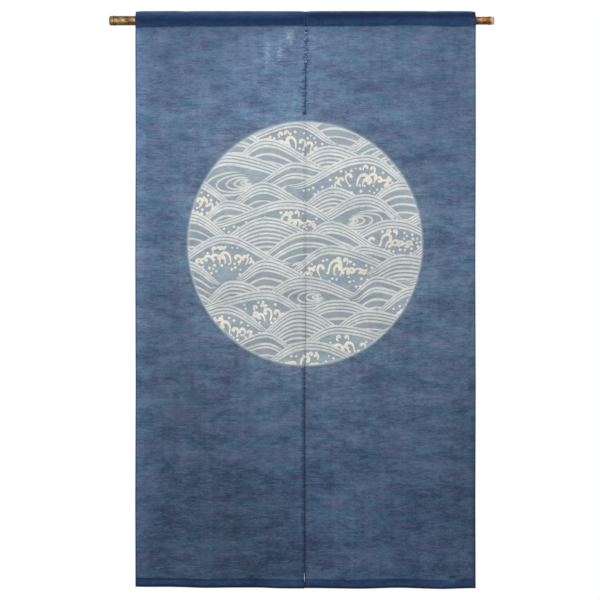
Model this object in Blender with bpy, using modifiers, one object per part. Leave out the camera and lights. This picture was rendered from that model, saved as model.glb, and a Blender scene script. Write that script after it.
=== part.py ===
"""Noren: a doorway curtain of two indigo hemp panels, hung on a bamboo rod.

Metres, +Z up, the front faces -Y. The origin is on the rod's axis, where the centre seam crosses it.
Each panel is one length of cloth: its top is folded back into a pocket round the rod, and its foot
into a hem.
The two panels lie edge to edge, sewn together at the top, with an open slit below the seam.
"""

import math

import bmesh
import bpy
import numpy as np
from mathutils import Vector

# Bamboo rod: a tapered culm, thick end on the left
ROD_LENGTH = 1.000
ROD_LEFT_END = -0.509
ROD_LEFT_RADIUS = 0.01225
ROD_RIGHT_RADIUS = 0.01025
ROD_SIDES = 20
ROD_RIM_ROUNDING = {"left": 0.0035, "right": 0.0012}
END_HOLLOW_DEPTH = 0.003
END_HOLLOW_SHARE = 0.55
RING_RISE = 0.0009

# Where the culm's rings are, along X
RING_PLACES = (-0.497, -0.335, -0.140, 0.065, 0.275, 0.478)

# The shape of one ring: a sheath scar, a groove and the ridge above it
RING_COLUMNS = ("along", "rise")
RING_SHAPE = (
    (-0.0065, 0.0),
    (-0.0015, 0.8),
    (0.0002, 0.2),
    (0.0022, 1.0),
    (0.0065, 0.0),
)

# The middle point of a rounded corner, as shares of its radius
ROUNDED_OUT = 0.7
ROUNDED_BACK = 0.3

# Cloth
CLOTH_THICKNESS = 0.001
CLOTH_LEFT = -0.4410
CLOTH_RIGHT = 0.4430
FOLD_RADIUS = 0.0008
LAYER_SPACING = 0.0014
HEM_HEIGHT = 0.0235
FLAP_TAIL = 0.004
ROD_CLEARANCE = 0.0003

# The pocket's folded ridge: it dips at the corners, at the seam and in two places between
TOP_COLUMNS = ("x", "z")
TOP_LINE = (
    (-0.4410, 0.0234),
    (-0.4260, 0.0250),
    (-0.3340, 0.0254),
    (-0.3086, 0.0243),
    (-0.2860, 0.0252),
    (-0.0140, 0.0249),
    (0.0018, 0.0234),
    (0.0170, 0.0250),
    (0.2000, 0.0254),
    (0.3120, 0.0252),
    (0.3297, 0.0242),
    (0.3480, 0.0252),
    (0.4270, 0.0250),
    (0.4430, 0.0230),
)

# The pocket's stitch line, close under the rod and lowest at the rod's thick end
STITCH_COLUMNS = ("x", "z")
STITCH_LINE = (
    (-0.4410, -0.0182),
    (-0.3900, -0.0165),
    (-0.3000, -0.0148),
    (-0.1200, -0.0142),
    (-0.0400, -0.0138),
    (0.1900, -0.0140),
    (0.2600, -0.0144),
    (0.3400, -0.0146),
    (0.4000, -0.0154),
    (0.4430, -0.0148),
)

# Centre seam and slit: the line between the two panels wanders a little
MIDDLE_COLUMNS = ("z", "x")
MIDDLE_LINE = (
    (-1.4760, -0.0026),
    (-1.4520, -0.0020),
    (-1.4100, -0.0031),
    (-1.3000, -0.0030),
    (-1.0000, -0.0035),
    (-0.9300, -0.0034),
    (-0.8300, -0.0006),
    (-0.7300, 0.0005),
    (-0.6200, -0.0003),
    (-0.4200, 0.0006),
    (-0.3150, 0.0005),
    (-0.2390, -0.0007),
    (-0.1980, 0.0000),
    (-0.1330, 0.0010),
    (-0.0630, 0.0016),
    (0.0234, 0.0018),
)
SEAM_END_Z = -0.2390
SEAM_GAP = 0.0003
SLIT_OPENING_Z = -1.4480
SLIT_OPENING_REACH = 0.020
SLIT_OPENING_GAP = 0.0009

# The hem's lower edge, uneven as hung
FOOT_COLUMNS = ("x", "z")
FOOT_LINE = (
    (-0.4410, -1.4712),
    (-0.3300, -1.4736),
    (-0.2100, -1.4738),
    (-0.0950, -1.4754),
    (0.0000, -1.4760),
    (0.0600, -1.4766),
    (0.1500, -1.4758),
    (0.2600, -1.4755),
    (0.3600, -1.4766),
    (0.4430, -1.4764),
)

# How far the side edges stray outwards from a plumb line
SIDE_COLUMNS = ("z", "left_out", "right_out")
SIDE_LINE = (
    (0.025, -0.0008, -0.0015),
    (0.000, 0.0002, 0.0010),
    (-0.050, 0.0006, 0.0004),
    (-0.300, -0.0004, 0.0008),
    (-0.620, 0.0007, -0.0004),
    (-0.950, -0.0005, 0.0009),
    (-1.250, 0.0006, 0.0000),
    (-1.475, 0.0000, 0.0006),
)

# Soft folds that run down the cloth: where each starts and ends, its half width, and how far it
# comes towards the front at the foot (minus is a hollow)
FOLD_COLUMNS = ("x_top", "x_foot", "half_width", "forward", "starts_z")
FOLDS = (
    (-0.445, -0.420, 0.045, 0.0040, -0.040),
    (-0.350, -0.335, 0.060, -0.0065, -0.080),
    (-0.235, -0.262, 0.052, 0.0078, -0.060),
    (-0.140, -0.118, 0.048, -0.0055, -0.120),
    (-0.050, -0.062, 0.040, 0.0050, -0.160),
    (0.060, 0.045, 0.045, -0.0045, -0.140),
    (0.130, 0.150, 0.055, 0.0074, -0.070),
    (0.245, 0.232, 0.050, -0.0060, -0.100),
    (0.330, 0.352, 0.060, 0.0070, -0.050),
    (0.440, 0.425, 0.040, -0.0052, -0.090),
)
FOLD_GROWTH = 1.25

# The slit's two edges curl apart towards the foot
SLIT_CURL_WIDTH = 0.030
SLIT_CURL = {"left": 0.0035, "right": -0.0022}

# Mesh density: even columns across a panel, with more where the ridge dips
CLOTH_COLUMNS = 18
COLUMN_CLEARANCE = 0.012
POCKET_ARC_POINTS = 5
PANEL_ROWS = 24


def column(table, names, name):
    """One named column of a table."""
    return [row[names.index(name)] for row in table]


def smooth(t):
    """A ramp from 0 to 1 with soft ends."""
    t = min(max(t, 0.0), 1.0)
    return t * t * (3.0 - 2.0 * t)


def between(x, start, end):
    """How far x lies from start (0) to end (1)."""
    return (x - start) / (end - start)


def rod_radius(x):
    """The culm's radius between its rings."""
    share = between(x, ROD_LEFT_END, ROD_LEFT_END + ROD_LENGTH)
    return ROD_LEFT_RADIUS + share * (ROD_RIGHT_RADIUS - ROD_LEFT_RADIUS)


def line_z(table, names, x):
    """The height of a line given as a table of x and z."""
    return float(np.interp(x, column(table, names, "x"), column(table, names, "z")))


def top_z(x):
    return line_z(TOP_LINE, TOP_COLUMNS, x)


def stitch_z(x):
    return line_z(STITCH_LINE, STITCH_COLUMNS, x)


def foot_z(x):
    return line_z(FOOT_LINE, FOOT_COLUMNS, x)


def outer_edge_x(side, z):
    """The panel's free side edge at this height."""
    heights = column(SIDE_LINE, SIDE_COLUMNS, "z")[::-1]
    strays = column(SIDE_LINE, SIDE_COLUMNS, side + "_out")[::-1]
    stray = float(np.interp(z, heights, strays))
    return CLOTH_LEFT - stray if side == "left" else CLOTH_RIGHT + stray


def inner_edge_x(side, z):
    """The panel's edge on the seam and the slit."""
    heights = column(MIDDLE_LINE, MIDDLE_COLUMNS, "z")
    middle = float(np.interp(z, heights, column(MIDDLE_LINE, MIDDLE_COLUMNS, "x")))
    opening = math.exp(-(((z - SLIT_OPENING_Z) / SLIT_OPENING_REACH) ** 2))
    gap = SEAM_GAP + opening * (SLIT_OPENING_GAP - SEAM_GAP)
    return middle - gap / 2 if side == "left" else middle + gap / 2


def hang(side, x, z):
    """How far the cloth lies in front (minus) or behind (plus) its plane at this point."""
    y = 0.0
    for x_top, x_foot, half_width, forward, starts_z in FOLDS:
        down = between(z, starts_z, foot_z(x))
        if down <= 0.0:
            continue
        middle = x_top + down * (x_foot - x_top)
        grown = smooth(down * FOLD_GROWTH)
        y -= forward * grown * math.exp(-(((x - middle) / half_width) ** 2))
    if z < SEAM_END_Z:
        from_slit = (x - inner_edge_x(side, z)) / SLIT_CURL_WIDTH
        curled = smooth(between(z, SEAM_END_Z, foot_z(x)))
        y -= SLIT_CURL[side] * curled * math.exp(-(from_slit**2))
    return y


def pocket_wall(x):
    """One wall of the pocket from its ridge down to the stitch line, as (distance from the rod's
    plane, z)."""
    arc_share = np.linspace(0.0, 1.0, POCKET_ARC_POINTS)
    reach = rod_radius(x) + RING_RISE + ROD_CLEARANCE + CLOTH_THICKNESS / 2
    ridge = top_z(x) - CLOTH_THICKNESS / 2
    low = stitch_z(x)
    half_step = math.radians(90.0) / (POCKET_ARC_POINTS - 1) / 2
    reach /= math.cos(half_step)
    upper = math.acos(reach / ridge)
    lower = math.pi - math.acos(min(1.0, -reach / low))
    wall = [
        (FOLD_RADIUS * ROUNDED_OUT, ridge - FOLD_RADIUS * ROUNDED_BACK),
        (FOLD_RADIUS, ridge - FOLD_RADIUS),
    ]
    for share in arc_share:
        angle = upper + share * (lower - upper)
        wall.append((reach * math.sin(angle), reach * math.cos(angle)))
    wall.append((LAYER_SPACING / 2, low))
    return wall


def cloth_section(x, panel_heights):
    """The cloth's middle line across the curtain at this x, from the pocket's flap over the ridge and
    down the front to the hem's end, as (y before the hang is added, z)."""
    wall = pocket_wall(x)
    low = stitch_z(x)
    foot = foot_z(x) + CLOTH_THICKNESS / 2
    half = LAYER_SPACING / 2
    line = [(half, low - FLAP_TAIL)]
    line += [(out, z) for out, z in reversed(wall)]
    line.append((0.0, top_z(x) - CLOTH_THICKNESS / 2))
    line += [(-out, z) for out, z in wall]
    line.append((-half, low - FLAP_TAIL))
    hem_top = foot + HEM_HEIGHT
    for share in panel_heights:
        line.append((-half, low - FLAP_TAIL + share * (hem_top - low + FLAP_TAIL)))
    line += [
        (-half, foot + half),
        (-half * ROUNDED_OUT, foot + half * ROUNDED_BACK),
        (0.0, foot),
        (half * ROUNDED_OUT, foot + half * ROUNDED_BACK),
        (half, foot + half),
        (half, hem_top),
    ]
    return line


def new_material(name, color, roughness):
    material = bpy.data.materials.new(name)
    material.use_nodes = True
    shader = material.node_tree.nodes["Principled BSDF"]
    shader.inputs["Base Color"].default_value = (*color, 1.0)
    shader.inputs["Roughness"].default_value = roughness
    shader.inputs["Metallic"].default_value = 0.0
    return material


def panel_edges(side, z):
    """The x of the panel's left and right edge at this height."""
    if side == "left":
        return outer_edge_x("left", z), inner_edge_x("left", z)
    return inner_edge_x("right", z), outer_edge_x("right", z)


def column_shares(side):
    """The mesh's columns, as shares of the panel's width: one at each point of the ridge line, and
    even ones between them."""
    start, end = panel_edges(side, 0.0)
    places = [start, end]
    for x in column(TOP_LINE, TOP_COLUMNS, "x"):
        if start + COLUMN_CLEARANCE < x < end - COLUMN_CLEARANCE:
            places.append(x)
    for x in np.linspace(start, end, CLOTH_COLUMNS + 1):
        if min(abs(x - place) for place in places) > COLUMN_CLEARANCE:
            places.append(float(x))
    return [between(x, start, end) for x in sorted(places)]


def make_panel(side, collection, material, hung_from):
    """One cloth panel: a flat grid laid onto the curtain's section, then given its thickness."""
    panel_heights = np.linspace(0.0, 1.0, PANEL_ROWS + 1)[1:]
    rows = len(cloth_section(0.0, panel_heights))
    shares = column_shares(side)
    grid = bmesh.new()
    bmesh.ops.create_grid(grid, x_segments=len(shares) - 1, y_segments=rows - 1, size=0.5)
    for vertex in grid.verts:
        across = shares[round((vertex.co.x + 0.5) * (len(shares) - 1))]
        row = round((vertex.co.y + 0.5) * (rows - 1))
        start, end = panel_edges(side, 0.0)
        rough_x = start + across * (end - start)
        y, z = cloth_section(rough_x, panel_heights)[row]
        start, end = panel_edges(side, z)
        x = start + across * (end - start)
        vertex.co = Vector((x, y + hang(side, x, z), z))
    mesh = bpy.data.meshes.new("panel_" + side)
    grid.to_mesh(mesh)
    grid.free()
    mesh.materials.append(material)
    mesh.shade_smooth()
    panel = bpy.data.objects.new("panel_" + side, mesh)
    collection.objects.link(panel)
    thickness = panel.modifiers.new("Thickness", "SOLIDIFY")
    thickness.thickness = CLOTH_THICKNESS
    thickness.offset = 0.0
    thickness.use_even_offset = True
    panel.parent = hung_from
    return panel


def rod_profile():
    """The culm's outline from the middle of its right end face, out and along to the left end face."""
    right_end = ROD_LEFT_END + ROD_LENGTH
    right = rod_radius(right_end)
    left = rod_radius(ROD_LEFT_END)
    bevel = ROD_RIM_ROUNDING
    outline = [
        (0.0, right_end - END_HOLLOW_DEPTH),
        (right * END_HOLLOW_SHARE, right_end - END_HOLLOW_DEPTH),
        (right * END_HOLLOW_SHARE, right_end),
        (right - bevel["right"], right_end),
        (right - bevel["right"] * ROUNDED_BACK, right_end - bevel["right"] * ROUNDED_BACK),
    ]
    for place in reversed(RING_PLACES):
        for along, rise in reversed(RING_SHAPE):
            x = place + along
            outline.append((rod_radius(x) + rise * RING_RISE, x))
    outline += [
        (left - bevel["left"] * ROUNDED_BACK, ROD_LEFT_END + bevel["left"] * ROUNDED_BACK),
        (left - bevel["left"], ROD_LEFT_END),
        (left * END_HOLLOW_SHARE, ROD_LEFT_END),
        (left * END_HOLLOW_SHARE, ROD_LEFT_END + END_HOLLOW_DEPTH),
        (0.0, ROD_LEFT_END + END_HOLLOW_DEPTH),
    ]
    return outline


def make_rod(collection, material, hung_from):
    """The bamboo culm, turned round the X axis with one flat of its sides straight down."""
    half_side = math.pi / ROD_SIDES
    profile = bmesh.new()
    points = [
        profile.verts.new((radius * math.cos(half_side), radius * math.sin(half_side), along))
        for radius, along in rod_profile()
    ]
    for start, end in zip(points, points[1:]):
        profile.edges.new((start, end))
    mesh = bpy.data.meshes.new("rod")
    profile.to_mesh(mesh)
    profile.free()
    mesh.materials.append(material)
    rod = bpy.data.objects.new("rod", mesh)
    collection.objects.link(rod)
    rod.rotation_euler = (0.0, math.pi / 2, 0.0)
    turned = rod.modifiers.new("Turned", "SCREW")
    turned.steps = ROD_SIDES
    turned.render_steps = ROD_SIDES
    turned.use_merge_vertices = True
    turned.merge_threshold = 0.00005
    turned.use_smooth_shade = True
    rod.parent = hung_from
    return rod


def clear_scene():
    for obj in list(bpy.data.objects):
        bpy.data.objects.remove(obj, do_unlink=True)


def main():
    clear_scene()
    collection = bpy.data.collections.new("Noren")
    bpy.context.scene.collection.children.link(collection)
    hung_from = bpy.data.objects.new("rod_line", None)
    collection.objects.link(hung_from)
    bamboo = new_material("Bamboo", (0.33, 0.20, 0.09), 0.45)
    indigo_hemp = new_material("Indigo hemp", (0.09, 0.14, 0.24), 0.92)
    make_rod(collection, bamboo, hung_from)
    make_panel("left", collection, indigo_hemp, hung_from)
    make_panel("right", collection, indigo_hemp, hung_from)


main()
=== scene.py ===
"""Noren: a doorway curtain of two indigo hemp panels hung on a bamboo rod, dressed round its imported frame.

Metres, +Z up, the front faces -Y. The origin is on the rod's axis, where the centre seam crosses it.
"""

import math
import random

import bmesh
import bpy
import numpy as np
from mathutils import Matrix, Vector
from mathutils.geometry import delaunay_2d_cdt


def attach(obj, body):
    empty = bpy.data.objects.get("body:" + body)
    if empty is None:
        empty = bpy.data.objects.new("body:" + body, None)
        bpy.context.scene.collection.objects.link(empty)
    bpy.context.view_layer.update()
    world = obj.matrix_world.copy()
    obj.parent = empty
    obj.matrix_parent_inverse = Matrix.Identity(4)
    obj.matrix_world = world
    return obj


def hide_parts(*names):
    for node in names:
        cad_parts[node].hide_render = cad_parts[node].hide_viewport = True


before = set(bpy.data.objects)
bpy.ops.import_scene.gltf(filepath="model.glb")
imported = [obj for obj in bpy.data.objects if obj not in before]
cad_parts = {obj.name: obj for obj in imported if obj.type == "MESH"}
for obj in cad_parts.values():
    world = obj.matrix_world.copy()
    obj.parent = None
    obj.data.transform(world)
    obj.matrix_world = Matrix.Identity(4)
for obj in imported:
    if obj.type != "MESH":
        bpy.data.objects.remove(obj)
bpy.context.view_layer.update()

# The bamboo rod: one slim culm, thicker at its left end, whose rings are trimmed nearly flush.
# Its skin is mottled brown by smoke. The left end is sawn and rounded over, the right one is cut
# off just past a ring and shows paler wood. It runs through the pockets of both panels.
ROD_LENGTH = 1.000
ROD_LEFT_END = -0.509
ROD_RIGHT_END = ROD_LEFT_END + ROD_LENGTH
ROD_LEFT_RADIUS = 0.01225
ROD_RIGHT_RADIUS = 0.01025
ROD_TAPER = (ROD_RIGHT_RADIUS - ROD_LEFT_RADIUS) / ROD_LENGTH
ROD_SIDES = 72
ROD_OUT_OF_ROUND = 0.02
LEFT_RIM_ROUNDING = 0.0035
RIGHT_RIM_ROUNDING = 0.0012
RIM_STEPS = 6
END_HOLLOW_DEPTH = 0.003
END_HOLLOW_SHARE = 0.55
RING_RISE = 0.0009
RING_PLACES = (-0.497, -0.335, -0.140, 0.065, 0.275, 0.478)
# One ring from left to right: where along the culm, how high, and how wide
RING_SCAR = (-0.0015, 0.75, 0.0010)
RING_GROOVE = (0.0002, -0.25, 0.0007)
RING_RIDGE = (0.0024, 1.0, 0.0021)
RING_REACH = 0.0075
RING_STEP = 0.0005
RING_LINE_WIDTH = 0.0011
CULM_STEP = 0.006
BARE_WOOD_LENGTH = 0.0075
SAWN_RIM_LENGTH = 0.0036


def rod_radius(x):
    """The culm's radius between its rings."""
    return ROD_LEFT_RADIUS + (x - ROD_LEFT_END) * ROD_TAPER


def bell(t):
    """1 at 0, fading to 0 on both sides."""
    return np.exp(-(t**2))


def ring_rise(x):
    """How far a ring stands out of the culm at x."""
    rise = 0.0
    for place in RING_PLACES:
        for along, height, width in (RING_SCAR, RING_GROOVE, RING_RIDGE):
            rise += RING_RISE * height * bell((x - place - along) / width)
    return min(rise, RING_RISE)


def culm_stations():
    """Places along the culm: close together at the rings, wide between them."""
    places = np.arange(ROD_LEFT_END + LEFT_RIM_ROUNDING, ROD_RIGHT_END - RIGHT_RIM_ROUNDING, CULM_STEP)
    for ring in RING_PLACES:
        close = np.arange(ring - RING_REACH, ring + RING_REACH, RING_STEP)
        places = np.concatenate([places[np.abs(places - ring) > RING_REACH], close])
    return np.sort(places)


def rod_end(end_x, rounding, inwards):
    """One end's outline as (x, radius) points: the rounded rim, then the end face with its hollow."""
    radius = rod_radius(end_x)
    points = []
    for angle in np.linspace(0.0, math.pi / 2, RIM_STEPS):
        x = end_x + inwards * rounding * (1.0 - math.sin(angle))
        points.append((x, radius - rounding * (1.0 - math.cos(angle))))
    for depth, width in ((0.0, 1.0), (0.8, 1.0), (1.0, 0.92), (1.0, 0.0)):
        points.append((end_x + inwards * END_HOLLOW_DEPTH * depth, radius * END_HOLLOW_SHARE * width))
    return points


class Signal:
    """The first output of a node, which can be reckoned with like a number. [name] gives another output."""

    def __init__(self, socket):
        self.socket = socket
        self.tree = socket.id_data

    def __getitem__(self, name):
        return Signal(self.socket.node.outputs[name])

    def __add__(self, other):
        return math_node("ADD", self, other)

    def __sub__(self, other):
        return math_node("SUBTRACT", self, other)

    def __rsub__(self, other):
        return math_node("SUBTRACT", other, self)

    def __mul__(self, other):
        return math_node("MULTIPLY", self, other)

    def __truediv__(self, other):
        return math_node("DIVIDE", self, other)

    def __abs__(self):
        return math_node("ABSOLUTE", self)

    __radd__ = __add__


def fill(node, inputs):
    """Fills a node's inputs from values or from other nodes' outputs."""
    for key, value in inputs.items():
        if isinstance(value, Signal):
            value.tree.links.new(value.socket, node.inputs[key])
        else:
            node.inputs[key].default_value = value


def add_node(tree, kind, inputs=None, **settings):
    """One node with its settings and its inputs."""
    made = tree.nodes.new(kind)
    for name, value in settings.items():
        setattr(made, name, value)
    fill(made, inputs or {})
    return Signal(made.outputs[0]) if made.outputs else None


def joined(kind, inputs, **settings):
    """One node, in the tree that its inputs come from."""
    tree = next(value.tree for value in inputs.values() if isinstance(value, Signal))
    return add_node(tree, kind, inputs, **settings)


def math_node(operation, *values):
    """The result of one Math node."""
    return joined("ShaderNodeMath", dict(enumerate(values)), operation=operation)


def vector_of(x, y, z=0.0):
    """A vector from three numbers."""
    return joined("ShaderNodeCombineXYZ", {"X": x, "Y": y, "Z": z})


def parts_of(vector):
    """A vector's X, Y and Z."""
    return joined("ShaderNodeSeparateXYZ", {"Vector": vector})


def new_tree(name, kind, inputs, outputs):
    """A node group with inputs and outputs of the named types. Gives the tree and its inputs."""
    tree = bpy.data.node_groups.new(name, kind)
    for in_out, sockets in (("INPUT", inputs), ("OUTPUT", outputs)):
        for socket_name, socket_type in sockets.items():
            tree.interface.new_socket(socket_name, in_out=in_out, socket_type="NodeSocket" + socket_type)
    return tree, add_node(tree, "NodeGroupInput")


def end_tree(tree, geometry, material, output):
    """Ends a tree in real geometry that wears its material."""
    real = add_node(tree, "GeometryNodeRealizeInstances", {"Geometry": geometry})
    dressed = add_node(tree, "GeometryNodeSetMaterial", {"Geometry": real, "Material": material})
    add_node(tree, "NodeGroupOutput", {output: dressed})
    return tree


def lathe_tree():
    """Turns an outline of (x, 0, radius) points round the X axis into a closed skin."""
    inputs = {"Outline": "Geometry", "Sides": "Int", "Out of round": "Float", "Skin": "Material"}
    tree, given = new_tree("Culm lathe", "GeometryNodeTree", inputs, {"Culm": "Geometry"})
    outline = given["Outline"]
    stations = add_node(tree, "GeometryNodeAttributeDomainSize", {"Geometry": outline}, component="MESH")
    around = given["Sides"] + 1.0
    counts = {"Vertices X": stations["Point Count"], "Vertices Y": around}
    grid = add_node(tree, "GeometryNodeMeshGrid", counts)
    index = add_node(tree, "GeometryNodeInputIndex")
    position = add_node(tree, "GeometryNodeInputPosition")
    station = {"Geometry": outline, "Value": position, "Index": math_node("FLOOR", index / around)}
    sampled = add_node(tree, "GeometryNodeSampleIndex", station, data_type="FLOAT_VECTOR", domain="POINT")
    point = parts_of(sampled)
    angle = math_node("MODULO", index, around) / given["Sides"] * math.tau
    sine = math_node("SINE", angle)
    cosine = math_node("COSINE", angle)
    wobble_place = vector_of(point["X"] * 9.0, sine, cosine)
    wobble = add_node(tree, "ShaderNodeTexNoise", {"Vector": wobble_place, "Scale": 1.0})
    radius = point["Z"] * ((wobble - 0.5) * given["Out of round"] + 1.0)
    turned = vector_of(point["X"], radius * sine, radius * cosine)
    placed = add_node(tree, "GeometryNodeSetPosition", {"Geometry": grid, "Position": turned})
    closed = add_node(tree, "GeometryNodeMergeByDistance", {"Geometry": placed, "Distance": 0.00002})
    return end_tree(tree, closed, given["Skin"], "Culm")


def placed_object(name, data):
    """A new object in the scene, at the origin."""
    made = bpy.data.objects.new(name, data)
    bpy.context.scene.collection.objects.link(made)
    return made


def grown(name, start, tree, values):
    """The plain mesh object that a Geometry Nodes tree makes from a start mesh and its named inputs."""
    seedling = bpy.data.objects.new(name + "_start", start)
    bpy.context.scene.collection.objects.link(seedling)
    modifier = seedling.modifiers.new("Made", "NODES")
    modifier.node_group = tree
    for socket in tree.interface.items_tree:
        if socket.in_out == "INPUT" and socket.name in values:
            modifier[socket.identifier] = values[socket.name]
    evaluated = seedling.evaluated_get(bpy.context.evaluated_depsgraph_get())
    mesh = bpy.data.meshes.new_from_object(evaluated)
    mesh.name = name
    bpy.data.objects.remove(seedling, do_unlink=True)
    return placed_object(name, mesh)


def closed_outwards(mesh, sharp_degrees):
    """Turns the faces outwards and shades them smooth up to an angle."""
    work = bmesh.new()
    work.from_mesh(mesh)
    bmesh.ops.remove_doubles(work, verts=work.verts, dist=0.00001)
    bmesh.ops.recalc_face_normals(work, faces=work.faces)
    work.to_mesh(mesh)
    work.free()
    mesh.shade_smooth()
    mesh.set_sharp_from_angle(angle=math.radians(sharp_degrees))


def srgb(*channels):
    """A colour given as 0 to 255 screen values, in the linear values that a shader takes."""
    shares = [channel / 255.0 for channel in channels]
    linear = [share / 12.92 if share <= 0.04045 else ((share + 0.055) / 1.055) ** 2.4 for share in shares]
    return (*linear, 1.0)


def tone_ramp(factor, *stops):
    """A ramp through stops of a position and the red, green and blue by which a colour is multiplied."""
    made = joined("ShaderNodeValToRGB", {"Fac": factor})
    elements = made.socket.node.color_ramp.elements
    while len(elements) < len(stops):
        elements.new(0.5)
    for element, (place, *color) in zip(elements, stops):
        element.position = place
        element.color = (*color, 1.0)
    return made


def color_ramp(factor, *stops):
    """A ramp through stops of a position and a colour's screen values."""
    return tone_ramp(factor, *[(place, *srgb(*color)[:3]) for place, *color in stops])


def blend_color(factor, first, second, how="MIX"):
    """Two colours mixed by a factor."""
    values = {0: factor, 6: first, 7: second}
    return joined("ShaderNodeMix", values, data_type="RGBA", blend_type=how)[2]


def toned(color, tone, factor=1.0):
    """A colour multiplied by a tone."""
    return blend_color(factor, color, tone, "MULTIPLY")


def map_range(value, start, end, to_start=0.0, to_end=1.0, **settings):
    """A value's range laid onto another one."""
    limits = {"From Min": start, "From Max": end, "To Min": to_start, "To Max": to_end}
    return joined("ShaderNodeMapRange", {"Value": value, **limits}, **settings)


def ramp_between(value, start, end):
    """0 up to start and 1 from end on, soft between them. The start may be the larger of the two."""
    return map_range(value, start, end, interpolation_type="SMOOTHSTEP")


def noise(vector, stretch, detail=2.0, roughness=0.5):
    """Noise on coordinates that are stretched first, as cells per metre along each axis."""
    spread = joined("ShaderNodeMapping", {"Vector": vector, "Scale": stretch})
    look = {"Scale": 1.0, "Detail": detail, "Roughness": roughness}
    return joined("ShaderNodeTexNoise", {"Vector": spread, **look})


def new_material(name, roughness, specular):
    """A material, its tree and its Principled BSDF."""
    material = bpy.data.materials.new(name)
    material.use_nodes = True
    shader = material.node_tree.nodes["Principled BSDF"]
    fill(shader, {"Roughness": roughness, "Specular IOR Level": specular})
    return material, material.node_tree, shader


def bump_of(height, strength, distance):
    """A normal bent by a height."""
    return joined("ShaderNodeBump", {"Height": height, "Strength": strength, "Distance": distance})


def bamboo_skin():
    """Smoked bamboo: cream to dark brown clouds drawn out along the culm, fine fibres, dark rings, painted
    shade along its top and underside and a painted highlight between them.
    """
    material, tree, shader = new_material("Smoked bamboo", 0.42, 0.45)
    place = add_node(tree, "ShaderNodeTexCoord")["Object"]
    clouds = noise(place, (62.0, 80.0, 80.0), 3.0, 0.60)
    wide_clouds = noise(place, (17.0, 40.0, 40.0))
    skin = color_ramp(
        clouds * 0.72 + wide_clouds * 0.28,
        (0.37, 74, 48, 20),
        (0.43, 118, 86, 44),
        (0.49, 156, 124, 72),
        (0.56, 196, 168, 112),
        (0.66, 218, 196, 144),
    )
    along = parts_of(place)["X"]
    skin = toned(skin, tone_ramp(along + 0.5, (0.0, 1.0, 1.0, 1.0), (1.0, 1.52, 1.06, 0.64)))
    # Painted light across the culm: painted shade towards its top and its underside, a painted highlight at
    # mid-height
    up = parts_of(place)["Z"] / (along * ROD_TAPER + rod_radius(0.0))
    painted_light_across_rod = tone_ramp(
        map_range(up, -1.0, 1.0),
        (0.04, 0.14, 0.10, 0.07),
        (0.24, 0.42, 0.34, 0.26),
        (0.42, 1.48, 1.46, 1.34),
        (0.58, 1.50, 1.48, 1.38),
        (0.78, 0.58, 0.60, 0.54),
        (0.94, 0.20, 0.20, 0.16),
    )
    skin = toned(skin, painted_light_across_rod)
    fibres = noise(place, (14.0, 1500.0, 1500.0), 3.0)
    skin = toned(skin, tone_ramp(fibres, (0.30, 0.70, 0.66, 0.60), (0.70, 1.0, 1.0, 1.0)), 0.55)
    marks_and_shade = add_node(tree, "ShaderNodeAttribute", attribute_name="marks_and_shade")
    mark = add_node(tree, "ShaderNodeSeparateColor", {"Color": marks_and_shade})
    skin = blend_color(mark["Red"] * 0.85, skin, srgb(52, 28, 10))
    cut_wood = color_ramp(noise(place, (300.0, 900.0, 900.0)), (0.30, 168, 134, 92), (0.70, 216, 196, 160))
    skin = blend_color(mark["Green"], skin, cut_wood)
    # Blue: the dark sawn rim, and painted shade inside the end hollows
    skin = blend_color(mark["Blue"] * 0.8, skin, srgb(40, 24, 12))
    rough = map_range(fibres, 0.0, 1.0, 0.34, 0.52)
    bump = bump_of(fibres + clouds * 0.6, 0.35, 0.0002)
    fill(shader, {"Base Color": skin, "Roughness": rough, "Normal": bump})
    return material


outline = rod_end(ROD_LEFT_END, LEFT_RIM_ROUNDING, 1.0)[::-1]
outline += [(x, rod_radius(x) + ring_rise(x)) for x in culm_stations()]
outline += rod_end(ROD_RIGHT_END, RIGHT_RIM_ROUNDING, -1.0)
outline_mesh = bpy.data.meshes.new("culm_outline")
outline_mesh.from_pydata([(x, 0.0, radius) for x, radius in outline], [], [])
culm = {"Sides": ROD_SIDES, "Out of round": ROD_OUT_OF_ROUND, "Skin": bamboo_skin()}
rod = grown("bamboo_rod", outline_mesh, lathe_tree(), culm)
closed_outwards(rod.data, 40.0)

# Marks and painted shade on the culm: red for a dark line along each ring's groove, green for bare cut wood,
# blue for the dark sawn rim and for painted shade inside both end hollows
marks_and_shade = rod.data.color_attributes.new("marks_and_shade", "FLOAT_COLOR", "POINT")
for vertex, mark in zip(rod.data.vertices, marks_and_shade.data):
    x = vertex.co.x
    groove_line = max(bell((x - place - RING_GROOVE[0]) / RING_LINE_WIDTH) for place in RING_PLACES)
    radius_share = math.hypot(vertex.co.y, vertex.co.z) / rod_radius(x)
    bare = x > ROD_RIGHT_END - BARE_WOOD_LENGTH
    on_end_face = radius_share < 0.97 and x < ROD_LEFT_END + SAWN_RIM_LENGTH
    # Painted shade inside the end hollows
    in_hollow = radius_share < END_HOLLOW_SHARE * 1.01
    mark.color = (groove_line, float(bare), float(on_end_face or in_hollow), 1.0)

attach(rod, "root")
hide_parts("rod")

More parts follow.
